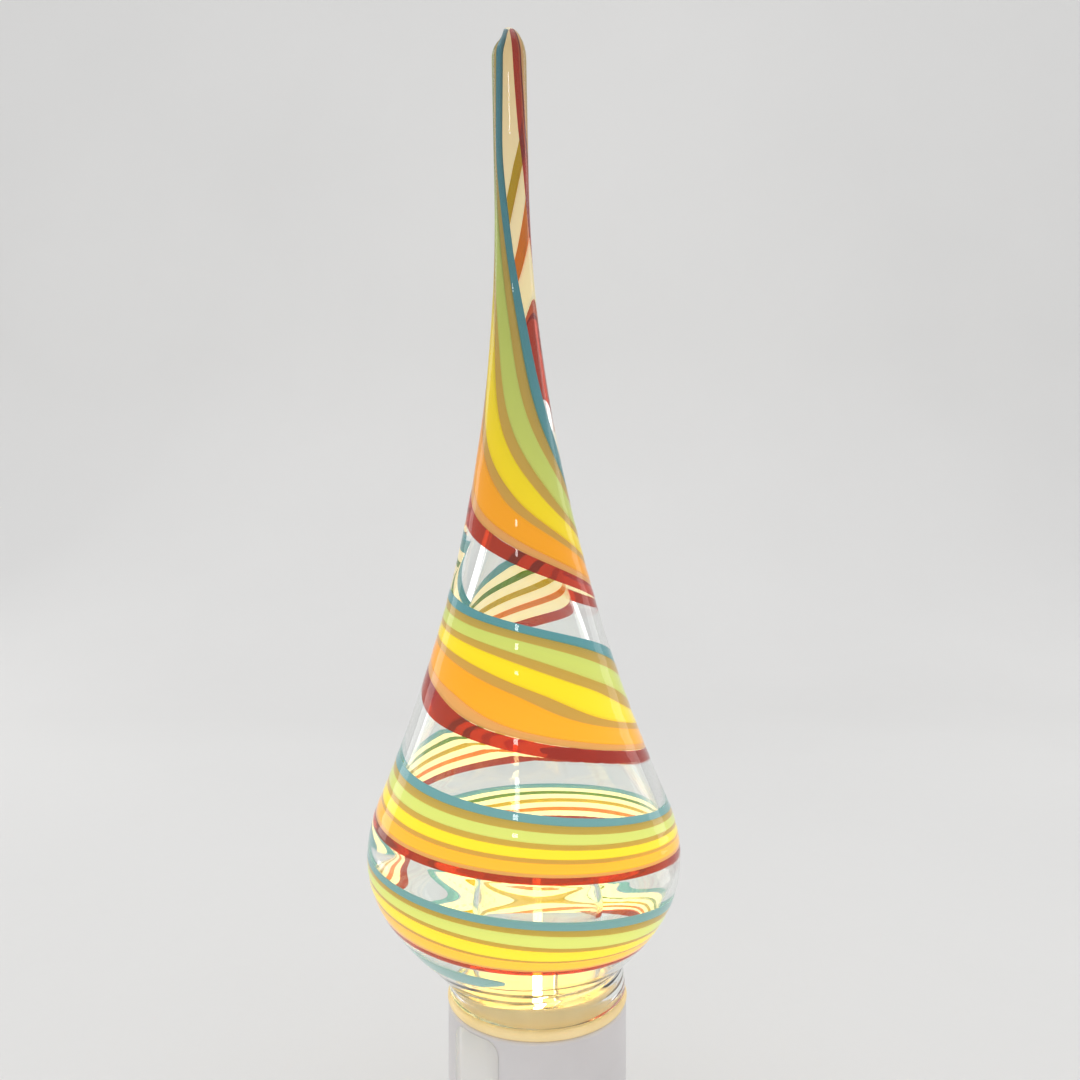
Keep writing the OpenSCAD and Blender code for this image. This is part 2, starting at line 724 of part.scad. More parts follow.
// Glass stem that carries the filament
module bulb_stem() {
    flare_r = bulb_neck_r - bulb_wall - fit_gap;
    flare_h = 4.5;
    color("azure", 0.5) on_axis() rotate_extrude() polygon(concat(
        [[0, stem_z], [flare_r, stem_z]],
        curve([[flare_r, stem_z + 0.2 * flare_h], [flare_r - 1, stem_z + 0.3 * flare_h],
            [stem_r, stem_z + 0.55 * flare_h], [stem_r, stem_z + flare_h]], 8),
        [[stem_r, stem_top - 0.4], [stem_r - 0.4, stem_top], [0, stem_top]]));
}

// Small supply board inside the cap
module bulb_driver() {
    board_z = cap_z + 1;
    color("seagreen") on_axis() translate([0, 0, board_z]) {
        cylinder(r = cap_bore_r - run_gap, h = 1);
        translate([-0.4, 0.8, 1 - eps]) cylinder(d = 2.4, h = stem_z - board_z - 1.6);
        translate([-1.8, -2.6, 1 - eps]) cube([3.6, 1.8, 1.4]);
    }
}

module filament() {
    color("gold") on_axis() translate([0, 0, filament_z]) cylinder(d = filament_d, h = filament_l);
}

// One wire to the filament's foot, one past it to its head
module filament_wires() {
    head_z = filament_z + filament_l;
    foot_z = stem_top - 1.2;
    color("silver") on_axis() {
        translate([0, 0, stem_top]) cylinder(r = wire_r, h = filament_z - stem_top, $fn = 24);
        translate([wire_x, 0, foot_z - wire_r])
            cylinder(r = wire_r, h = head_z - foot_z + 3 * wire_r, $fn = 24);
        translate([0, 0, head_z + wire_r]) rotate([0, 90, 0]) cylinder(r = wire_r, h = wire_x, $fn = 24);
        translate([stem_r + fit_gap, 0, foot_z]) rotate([0, 90, 0])
            cylinder(r = wire_r, h = wire_x - stem_r - fit_gap, $fn = 24);
    }
}

// Slider: ribbed grip outside, plate behind the wall, block between the guides
module switch_slider() {
    rib_n = 3;
    rib_w = 0.5;
    block_inset = 0.5;
    grip_front = cup_r + grip_proud;
    color("white") on_axis() difference() {
        union() {
            translate([-plate_hw, -plate_front, plate_z]) cube([2 * plate_hw, plate_t, plate_h]);
            translate([-grip_w / 2, -grip_front, grip_z])
                cube([grip_w, grip_front - plate_front + eps, grip_h]);
            translate([-block_hw, -plate_back - eps, plate_z + block_inset])
                cube([2 * block_hw, block_t + eps, plate_h - 2 * block_inset]);
        }
        for (i = [1:rib_n])
            translate([-grip_w, -grip_front - eps, grip_z + grip_h * i / (rib_n + 1) - rib_w / 2])
                cube([2 * grip_w, rib_w, rib_w]);
    }
}

module switch_bridge() {
    color("gold") on_axis() translate([-bridge_hw, -block_back, bridge_z])
        cube([2 * bridge_hw, bridge_t, bridge_h]);
}

plug_body();
live_blade();
neutral_blade();
swivel_washer();
swivel_screws();
lamp_body();
bottom_cap();
cap_screws();
contact_plate();
live_post();
neutral_ring();
socket_insulator();
screw_shell();
centre_contact();
socket_screws();
switch_frame();
switch_contacts();
switch_strip();
live_lead();
neutral_lead();
seat_ring();
glass_shade();
bulb_glass();
bulb_cap();
bulb_insulator();
bulb_tip();
bulb_stem();
bulb_driver();
filament();
filament_wires();
switch_slider();
switch_bridge();
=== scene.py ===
"""Looks of a plug-in night light.

Striped blown glass stands over a lit bulb, on a white body that swivels on its plug.
"""

import logging
import math
from bisect import bisect
from collections.abc import Sequence
from dataclasses import dataclass, field
from enum import Enum
from itertools import pairwise

import bmesh
import bpy
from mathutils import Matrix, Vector


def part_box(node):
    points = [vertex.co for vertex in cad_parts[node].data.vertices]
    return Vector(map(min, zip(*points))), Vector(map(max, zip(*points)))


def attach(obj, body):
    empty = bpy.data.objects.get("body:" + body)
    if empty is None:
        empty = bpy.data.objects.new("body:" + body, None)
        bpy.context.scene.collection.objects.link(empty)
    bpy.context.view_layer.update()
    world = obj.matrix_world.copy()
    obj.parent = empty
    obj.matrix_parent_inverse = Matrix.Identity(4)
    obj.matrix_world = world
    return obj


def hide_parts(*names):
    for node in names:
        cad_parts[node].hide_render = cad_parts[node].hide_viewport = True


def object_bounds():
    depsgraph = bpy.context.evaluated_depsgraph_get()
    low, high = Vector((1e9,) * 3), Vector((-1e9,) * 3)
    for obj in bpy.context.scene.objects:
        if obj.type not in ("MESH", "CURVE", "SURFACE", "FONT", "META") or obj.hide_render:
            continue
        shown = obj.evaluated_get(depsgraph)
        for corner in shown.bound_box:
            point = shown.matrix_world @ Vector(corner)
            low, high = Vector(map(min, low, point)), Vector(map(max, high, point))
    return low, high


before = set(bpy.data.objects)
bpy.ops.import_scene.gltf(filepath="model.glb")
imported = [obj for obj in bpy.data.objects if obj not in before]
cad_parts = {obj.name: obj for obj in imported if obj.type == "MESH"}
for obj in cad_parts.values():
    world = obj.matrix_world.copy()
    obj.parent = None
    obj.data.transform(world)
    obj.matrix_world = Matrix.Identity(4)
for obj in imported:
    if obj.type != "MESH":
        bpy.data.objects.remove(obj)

LOG = logging.getLogger("night_light")
MM = 0.001
CAD_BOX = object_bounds()
# Corners closer than this are one, in millimetres.
MERGE_GAP = 0.0005

Point = tuple[float, float]
Colour = tuple[float, float, float, float]


def linear(code: str) -> Colour:
    """Turn an sRGB hex colour into a linear one.

    Args:
        code: six hex digits after a hash sign.

    Returns:
        Red, green, blue and alpha, from 0 to 1.
    """
    parts = [int(code[i:i + 2], 16) / 255 for i in (1, 3, 5)]
    bright = [p / 12.92 if p <= 0.04045 else ((p + 0.055) / 1.055) ** 2.4 for p in parts]
    return (*bright, 1.0)


def add_node(tree: bpy.types.NodeTree, kind: str, inputs: dict[str | int, object] | None = None,
             **settings: str | int) -> bpy.types.Node:
    """Add a shader node with its settings and links.

    Args:
        tree: node tree that gets the node.
        kind: the node's type without its prefix.
        inputs: input name or number to a value, or to the socket that feeds it.
        settings: the node's own properties.

    Returns:
        The new node.
    """
    node = tree.nodes.new("ShaderNode" + kind)
    for name, value in settings.items():
        setattr(node, name, value)
    for name, value in (inputs or {}).items():
        if isinstance(value, bpy.types.NodeSocket):
            tree.links.new(value, node.inputs[name])
        else:
            node.inputs[name].default_value = value
    return node


def start_material(name: str) -> tuple[bpy.types.Material, bpy.types.NodeSocket]:
    """Start a material with an empty node tree.

    Args:
        name: the material's name.

    Returns:
        The material, and the socket that gives the place on the object.
    """
    material = bpy.data.materials.new(name)
    material.use_nodes = True
    tree = material.node_tree
    tree.nodes.clear()
    return material, add_node(tree, "TexCoord").outputs["Object"]


def mix_colours(tree: bpy.types.NodeTree, share: bpy.types.NodeSocket, first: Colour | bpy.types.NodeSocket,
                second: Colour) -> bpy.types.NodeSocket:
    """Add a mix of two colours.

    Args:
        tree: node tree that gets the mix.
        share: the socket that gives the second colour's share.
        first: the first colour, or the socket that gives it.
        second: the second colour.

    Returns:
        The socket that gives the mixed colour.
    """
    inputs = {"Factor": share, "A": first, "B": second}
    return add_node(tree, "Mix", inputs, data_type="RGBA").outputs["Result"]


def cubic(ends: Sequence[Point], steps: int) -> list[Point]:
    """Walk along a cubic curve.

    Args:
        ends: the start, the two handles and the end.
        steps: how many steps the walk takes.

    Returns:
        The points, with both ends.
    """
    def at(t: float) -> Point:
        """Give the curve's point at a share of the way."""
        shares = ((1 - t) ** 3, 3 * t * (1 - t) ** 2, 3 * t * t * (1 - t), t ** 3)
        return tuple(sum(s * p[k] for s, p in zip(shares, ends)) for k in (0, 1))

    return [at(i / steps) for i in range(steps + 1)]


def arc(centre: Point, radius: float, start: float, end: float, steps: int) -> list[Point]:
    """Walk along an arc.

    Args:
        centre: the arc's middle.
        radius: its radius.
        start: first angle in degrees.
        end: last angle in degrees.
        steps: how many steps the walk takes.

    Returns:
        The points, with both ends.
    """
    angles = [math.radians(start + (end - start) * i / steps) for i in range(steps + 1)]
    return [(centre[0] + radius * math.cos(a), centre[1] + radius * math.sin(a)) for a in angles]


def between(stations: Sequence[Point], at: float) -> float:
    """Read a smooth line that goes through stations.

    Args:
        stations: places in rising order, each with its value.
        at: the place to read.

    Returns:
        The value there, held at both ends.
    """
    if at <= stations[0][0]:
        return stations[0][1]
    if at >= stations[-1][0]:
        return stations[-1][1]
    i = next(k for k, s in enumerate(stations) if s[0] > at) - 1

    def slope(k: int) -> float:
        """Give the line's slope at a station from its neighbours."""
        low, high = stations[max(k - 1, 0)], stations[min(k + 1, len(stations) - 1)]
        return (high[1] - low[1]) / (high[0] - low[0])

    (x0, y0), (x1, y1) = stations[i], stations[i + 1]
    span = x1 - x0
    t = (at - x0) / span
    start = (1 + 2 * t) * (1 - t) ** 2 * y0 + t * (1 - t) ** 2 * span * slope(i)
    return start + t * t * (3 - 2 * t) * y1 + t * t * (t - 1) * span * slope(i + 1)


def finish_mesh(bm: bmesh.types.BMesh, name: str, *materials: bpy.types.Material) -> bpy.types.Object:
    """Make a smooth object of a mesh, with its place in its vertices.

    Args:
        bm: the mesh, which is freed.
        name: name of the piece.
        materials: its material slots.

    Returns:
        The object, in the scene.
    """
    bmesh.ops.remove_doubles(bm, verts=bm.verts[:], dist=MERGE_GAP * MM)
    bmesh.ops.recalc_face_normals(bm, faces=bm.faces[:])
    for face in bm.faces:
        face.smooth = True
    mesh = bpy.data.meshes.new(name)
    bm.to_mesh(mesh)
    bm.free()
    for material in materials:
        mesh.materials.append(material)
    piece = bpy.data.objects.new(name, mesh)
    bpy.context.scene.collection.objects.link(piece)
    LOG.info("made %s with %d faces", name, len(mesh.polygons))
    return piece


def spin_outline(bm: bmesh.types.BMesh, outline: Sequence[Point], axis: Vector,
                 sides: int) -> list[bmesh.types.BMVert]:
    """Turn a half outline around an upright axis.

    Args:
        bm: mesh that gets the turned face.
        outline: radius and height of each point, in millimetres.
        axis: the axis at height 0, in metres.
        sides: how many steps go around.

    Returns:
        The face's vertices.
    """
    old = set(bm.verts)
    verts = [bm.verts.new(axis + Vector((r * MM, 0, z * MM))) for r, z in outline]
    edges = [bm.edges.new(pair) for pair in pairwise(verts)]
    bmesh.ops.spin(bm, geom=verts + edges, cent=axis, axis=(0, 0, 1), dvec=(0, 0, 0),
                   angle=math.tau, steps=sides, use_merge=True, use_duplicate=False)
    return [v for v in bm.verts if v not in old]


class Grain(Enum):
    """How a surface was made, as the fineness of its grain along X, Y and Z."""

    MOULDED = (1.0, 1.0, 1.0)
    ROLLED = (1.0, 0.06, 1.0)
    TURNED = (0.06, 0.06, 1.0)
    FIBROUS = (0.2, 1.0, 1.0)


@dataclass(frozen=True)
class Finish:
    """An opaque finish: a mottle in its colour, a grain in its gloss and height, and wear along its edges.

    Lengths are in millimetres. A grain finer than 0.3 mm doesn't show in the render, so none is drawn finer.
    """

    name: str
    colour: str
    shade: str
    roughness: float
    metallic: float = 0.0
    made: Grain = Grain.MOULDED
    mottle: float = 6.0
    grain: float = 0.35
    depth: float = 0.004
    worn: str = ""
    wear_width: float = 0.3
    glow: str = ""
    glow_strength: float = 0.0
    mottle_span: Point = (0.3, 0.7)
    mottle_detail: float = 5.0
    grain_detail: float = 3.0
    gloss_spread: float = 0.25
    wear_span: Point = (0.99, 0.85)
    wear_most: float = 0.8
    wear_samples: int = 4

    def material(self) -> bpy.types.Material:
        """Give the finish as a material, made once."""
        return bpy.data.materials.get(self.name) or self.make()

    def make(self) -> bpy.types.Material:
        """Build the finish as a material.

        Returns:
            The material.
        """
        material, place = start_material(self.name)
        tree = material.node_tree
        along = add_node(tree, "Mapping", {"Vector": place, "Scale": self.made.value}).outputs["Vector"]
        mottle = add_node(tree, "TexNoise", {
            "Vector": place, "Scale": 1 / (self.mottle * MM), "Detail": self.mottle_detail}).outputs["Fac"]
        spread = add_node(tree, "MapRange", {
            "Value": mottle, "From Min": self.mottle_span[0], "From Max": self.mottle_span[1]})
        grain = add_node(tree, "TexNoise", {
            "Vector": along, "Scale": 1 / (self.grain * MM), "Detail": self.grain_detail}).outputs["Fac"]
        gloss = add_node(tree, "MapRange", {
            "Value": grain, "To Min": self.roughness * (1 - self.gloss_spread),
            "To Max": self.roughness * (1 + self.gloss_spread)})
        bump = add_node(tree, "Bump", {"Height": grain, "Distance": self.depth * MM})
        colour = mix_colours(tree, spread.outputs["Result"], linear(self.colour), linear(self.shade))
        if self.worn:
            round_edge = add_node(tree, "Bevel", {"Radius": self.wear_width * MM}, samples=self.wear_samples)
            true_edge = add_node(tree, "NewGeometry").outputs["Normal"]
            same = add_node(tree, "VectorMath", {0: round_edge.outputs["Normal"], 1: true_edge},
                            operation="DOT_PRODUCT")
            edge = add_node(tree, "MapRange", {
                "Value": same.outputs["Value"], "From Min": self.wear_span[0], "From Max": self.wear_span[1],
                "To Min": 0.0, "To Max": self.wear_most})
            rub = add_node(tree, "Math", {0: edge.outputs["Result"], 1: mottle}, operation="MULTIPLY")
            colour = mix_colours(tree, rub.outputs["Value"], colour, linear(self.worn))
        shader = add_node(tree, "BsdfPrincipled", {
            "Base Color": colour, "Roughness": gloss.outputs["Result"], "Normal": bump.outputs["Normal"],
            "Metallic": self.metallic})
        if self.glow:
            shader.inputs["Emission Color"].default_value = linear(self.glow)
            shader.inputs["Emission Strength"].default_value = self.glow_strength
        add_node(tree, "OutputMaterial", {"Surface": shader.outputs["BSDF"]})
        return material


@dataclass(frozen=True)
class ClearGlass:
    """Soda-lime glass: clear, with the slow waves of a hand-worked surface. Lamps shine through it.

    Lengths are in millimetres.
    """

    name: str
    colour: str = "#FBFDFA"
    roughness: float = 0.0
    ior: float = 1.5
    wave: float = 9.0
    wave_depth: float = 0.02
    wave_detail: float = 1.0

    def make(self) -> bpy.types.Material:
        """Build the glass as a material.

        Returns:
            The material.
        """
        material, place = start_material(self.name)
        tree = material.node_tree
        wave = add_node(tree, "TexNoise", {
            "Vector": place, "Scale": 1 / (self.wave * MM), "Detail": self.wave_detail})
        bump = add_node(tree, "Bump", {"Height": wave.outputs["Fac"], "Distance": self.wave_depth * MM})
        glass = add_node(tree, "BsdfPrincipled", {
            "Base Color": linear(self.colour), "Roughness": self.roughness, "IOR": self.ior,
            "Transmission Weight": 1.0, "Normal": bump.outputs["Normal"]})
        open_way = add_node(tree, "BsdfTransparent", {"Color": linear(self.colour)})
        shadow = add_node(tree, "LightPath").outputs["Is Shadow Ray"]
        mix = add_node(tree, "MixShader", {0: shadow, 1: glass.outputs["BSDF"], 2: open_way.outputs["BSDF"]})
        add_node(tree, "OutputMaterial", {"Surface": mix.outputs["Shader"]})
        return material


@dataclass(frozen=True)
class CaneGlass:
    """Coloured soda glass drawn into a cane: fine streaks along it, and the bulb's light coming through.

    The glow is full close to the bulb and gone at its reach, and it pales where it is full. Near and the
    reaches are in millimetres.
    """

    name: str
    colour: str
    dense: str
    glow: str
    pale: str = "#FFF8B8"
    roughness: float = 0.25
    glow_strength: float = 0.55
    near: float = 14.0
    reach: float = 190.0
    fade: float = 2.2
    paling: float = 0.7
    pale_reach: float = 45.0
    streak: float = 0.25
    clear: bool = False
    streak_detail: float = 3.0
    streak_span: Point = (0.35, 0.75)
    dense_most: float = 0.35
    glow_span: Point = (0.82, 1.12)

    def make(self, light: Vector) -> bpy.types.Material:
        """Build the cane's glass as a material.

        Args:
            light: the bulb's brightest place.

        Returns:
            The material.
        """
        material, place = start_material(self.name)
        tree = material.node_tree
        across = add_node(tree, "Attribute", attribute_name="across").outputs["Fac"]
        along = add_node(tree, "Attribute", attribute_name="along").outputs["Fac"]
        lines = add_node(tree, "CombineXYZ", {"X": across, "Y": along})
        streak = add_node(tree, "TexNoise", {
            "Vector": lines.outputs["Vector"], "Scale": 1 / self.streak,
            "Detail": self.streak_detail}).outputs["Fac"]
        dense = add_node(tree, "MapRange", {
            "Value": streak, "From Min": self.streak_span[0], "From Max": self.streak_span[1],
            "To Min": 0.0, "To Max": self.dense_most})
        body = mix_colours(tree, dense.outputs["Result"], linear(self.colour), linear(self.dense))
        gap = add_node(tree, "VectorMath", {0: place, 1: light}, operation="DISTANCE").outputs["Value"]
        fall = add_node(tree, "MapRange", {
            "Value": gap, "From Min": self.near * MM, "From Max": self.reach * MM,
            "To Min": 1.0, "To Max": 0.0})
        shine = add_node(tree, "Math", {0: fall.outputs["Result"], 1: self.fade}, operation="POWER")
        vary = add_node(tree, "MapRange", {
            "Value": streak, "To Min": self.glow_span[0], "To Max": self.glow_span[1]})
        power = add_node(tree, "Math", {0: shine.outputs["Value"], 1: vary.outputs["Result"]},
                         operation="MULTIPLY")
        strength = add_node(tree, "Math", {0: power.outputs["Value"], 1: self.glow_strength},
                            operation="MULTIPLY")
        paling = add_node(tree, "MapRange", {
            "Value": gap, "From Min": self.near * MM, "From Max": self.pale_reach * MM,
            "To Min": self.paling, "To Max": 0.0})
        glow = mix_colours(tree, paling.outputs["Result"], linear(self.glow), linear(self.pale))
        shader = add_node(tree, "BsdfPrincipled", {
            "Base Color": body, "Roughness": self.roughness, "Specular IOR Level": 0.0,
            "Emission Color": glow, "Emission Strength": strength.outputs["Value"]})
        if self.clear:
            shader.inputs["Transmission Weight"].default_value = 1.0
            shader.inputs["IOR"].default_value = 1.0
        add_node(tree, "OutputMaterial", {"Surface": shader.outputs["BSDF"]})
        return material


@dataclass(frozen=True)
class Cane:
    """One cane of the ribbon.

    Its start and width are in degrees around the glass, and so are its lag and spread where the canes slip in
    the spire, and its swelling above the foot. Its depth and thickness go into the wall, in millimetres. It
    narrows over its taper up to its top, in millimetres above the lip.
    """

    name: str
    start: float
    width: float
    depth: float
    thick: float
    finish: CaneGlass
    inner: CaneGlass | None = None
    lag: float = 0.0
    spread: float = 0.0
    foot: float = 0.0
    taper: float = 0.0
    top: float = 135.3


# Opaque soda glass coloured with copper: a cool blue-green that stays darkest of the opaque canes.
TEAL = CaneGlass("teal_cane_glass", "#468A9A", "#387486", "#86D0CC", "#DCF4DC", glow_strength=0.5)
# Milky green glass, which turns pale and yellowish where the bulb is near.
GREEN = CaneGlass("green_cane_glass", "#AFBE64", "#98AC50", "#F0F078", "#FFFC90", glow_strength=0.8)
# Cadmium yellow glass: full and even, and the brightest cane.
YELLOW = CaneGlass("yellow_cane_glass", "#E8D000", "#E2C000", "#FFE800", "#FFF660", glow_strength=0.8)
# Selenium orange glass, a little streaked along the cane.
ORANGE = CaneGlass("orange_cane_glass", "#EAA000", "#E08C00", "#FFB800", "#FFF058", glow_strength=0.8,
                   paling=0.95)
# Clear red glass: dark on its own, and orange-red where something bright stands behind it.
RED = CaneGlass("red_cane_glass", "#A8300C", "#8E2408", "#FF4A00", "#FF8A10", glow_strength=0.16,
                clear=True)
# White casing under the canes, seen through the outside: painted shade turns its white to tan, with a faint
# painted glow of the bulb's light in it.
SHADED_CASING = CaneGlass("white_casing_glass_painted_shade", "#CFAE5C", "#BE9A48", "#D8AC38", "#C8A838",
                  glow_strength=0.5)
# A strip of the casing stained by the red cane beside it: a light peach.
PEACH = CaneGlass("peach_casing_glass", "#E4B070", "#D8A060", "#F4B450", "#F4C860", glow_strength=0.6)
# The same casing from the inside, where the bulb lights it: a warm cream.
LIT = CaneGlass("white_casing_glass_inside", "#F6ECCE", "#EEE0BC", "#FFF3C0", glow_strength=0.85, reach=260)
# The green cane's thin line on the inside of the casing, darker than the cane.
INNER_GREEN = CaneGlass("green_line_glass", "#628A24", "#52761C", "#7CB020", "#A4B83C", glow_strength=0.4)
# The yellow cane's line there: an ochre against the cream.
INNER_YELLOW = CaneGlass("yellow_line_glass", "#C8A800", "#B09000", "#E0C000", "#E0C420", glow_strength=0.5)
# The orange cane's line there.
INNER_ORANGE = CaneGlass("orange_line_glass", "#DC7800", "#C86800", "#FF9000", "#FFA420", glow_strength=0.6)

# Clear blown soda-lime glass: bright edges, and slow waves that bend what stands behind.
BLOWN_GLASS = ClearGlass("blown_soda_lime_glass")
# Clear bulb glass: the filament shows as a white streak, and the canes behind it show through.
BULB_GLASS = ClearGlass("clear_bulb_glass", roughness=0.02, wave_depth=0.004)
# Pressed glass of the bulb's stem, with short waves.
STEM_GLASS = ClearGlass("pressed_stem_glass", wave=3.0, wave_depth=0.01)

# Clear polyester film on the white body: the body's colour a little warmer, under a glossy and slightly
# wavy face.
FILM = Finish("clear_polyester_film_on_white", "#E6E3DF", "#DFDBD6", 0.1, mottle=5, grain=2.5, depth=0.03,
              worn="#F2F0EC")
# Injection-moulded ABS: a cool white with the fine spark-eroded grain of its mould, rubbed smooth at its
# edges.
BODY_PLASTIC = Finish("white_moulded_abs", "#DEDADA", "#D5D1D1", 0.42, mottle=14, grain=0.4, depth=0.006,
                      worn="#E8E6E4")
# Polycarbonate, smoother and brighter than the body.
PLUG_PLASTIC = Finish("white_moulded_polycarbonate", "#E6E5E1", "#DEDDD9", 0.28, mottle=10, depth=0.003,
                      worn="#EFEEEA")
# Silicone rubber: cream, half matt, and lit through by the bulb.
SILICONE = Finish("cream_silicone_rubber", "#EAD6A6", "#E0C992", 0.5, mottle=4, glow="#FFD890",
                  glow_strength=0.2)
# Rolled brass: fine lines along the sheet, brown tarnish in clouds, and bright rubbed edges.
BRASS = Finish("rolled_brass", "#D8B46A", "#B98E48", 0.3, 1.0, Grain.ROLLED, mottle=5, worn="#F0D48C")
# The same brass, drawn into a shell and turned, so its lines run around.
TURNED_BRASS = Finish("turned_brass", "#D8B46A", "#BE9650", 0.28, 1.0, Grain.TURNED, mottle=5,
                      worn="#F0D48C")
# Zinc-plated steel: bluish, with a cloudy plating.
STEEL = Finish("zinc_plated_steel", "#C8CACE", "#A9ACB4", 0.34, 1.0, Grain.TURNED, mottle=2.5,
               worn="#DCDDE0")
# Nickel on brass: warm grey, and glossier than zinc.
NICKEL = Finish("nickel_plated_brass", "#D9D6CF", "#C4BFB4", 0.25, 1.0, Grain.TURNED, mottle=3,
                worn="#E8D8A8")
# Vulcanised fibre: brown and matt, with fibres pressed along the sheet.
FIBRE = Finish("vulcanised_fibre", "#9A7040", "#7C5429", 0.7, made=Grain.FIBROUS, mottle=3, grain=0.5,
               depth=0.02)
# Steatite porcelain: chalky off-white with a faint speckle.
PORCELAIN = Finish("steatite_porcelain", "#EDE8DC", "#DDD5C4", 0.55, mottle=1.2, grain=0.5, depth=0.01)
# Black glass that closes the cap: deep and shiny.
BLACK_GLASS = Finish("black_vitrite_glass", "#0C0C0D", "#19191B", 0.12, mottle=2, depth=0.002)
# Phosphor coat of the filament strip, which gives the bulb's light.
PHOSPHOR = Finish("phosphor_coat", "#FFE9B0", "#FFE2A0", 0.6, mottle=1, glow="#FFE0A0", glow_strength=110.0)
# Green lacquer over a glass-fibre board: the weave shows as a faint grain.
LACQUER = Finish("lacquered_glass_fibre_board", "#1E6A3C", "#144E2A", 0.32, made=Grain.FIBROUS, mottle=2,
                 depth=0.01)
# Dark nylon of the switch frame, half matt.
NYLON = Finish("dark_moulded_nylon", "#3A3A3D", "#2E2E31", 0.5, mottle=5, worn="#4A4A4E")
# Soft PVC covers of the two wires, drawn lengthways: black on the live lead, white on the neutral one.
BLACK_PVC = Finish("black_pvc_cover", "#161617", "#202022", 0.45, made=Grain.ROLLED, mottle=3)
WHITE_PVC = Finish("white_pvc_cover", "#E4E3E0", "#D4D2CD", 0.45, made=Grain.ROLLED, mottle=3)
# Paper of the studio's sweep: pale and matt, with a faint tooth.
PAPER = Finish("pale_studio_paper", "#E6E5E3", "#E3E2E0", 0.9, mottle=200, grain=3, depth=0.02)


def dress(material: bpy.types.Material, *nodes: str) -> None:
    """Give pieces that keep their own meshes a finish.

    Args:
        material: the finish.
        nodes: names of the pieces.
    """
    for name in nodes:
        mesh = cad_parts[name].data
        mesh.materials.clear()
        mesh.materials.append(material)
        LOG.info("dressed %s in %s", name, material.name)


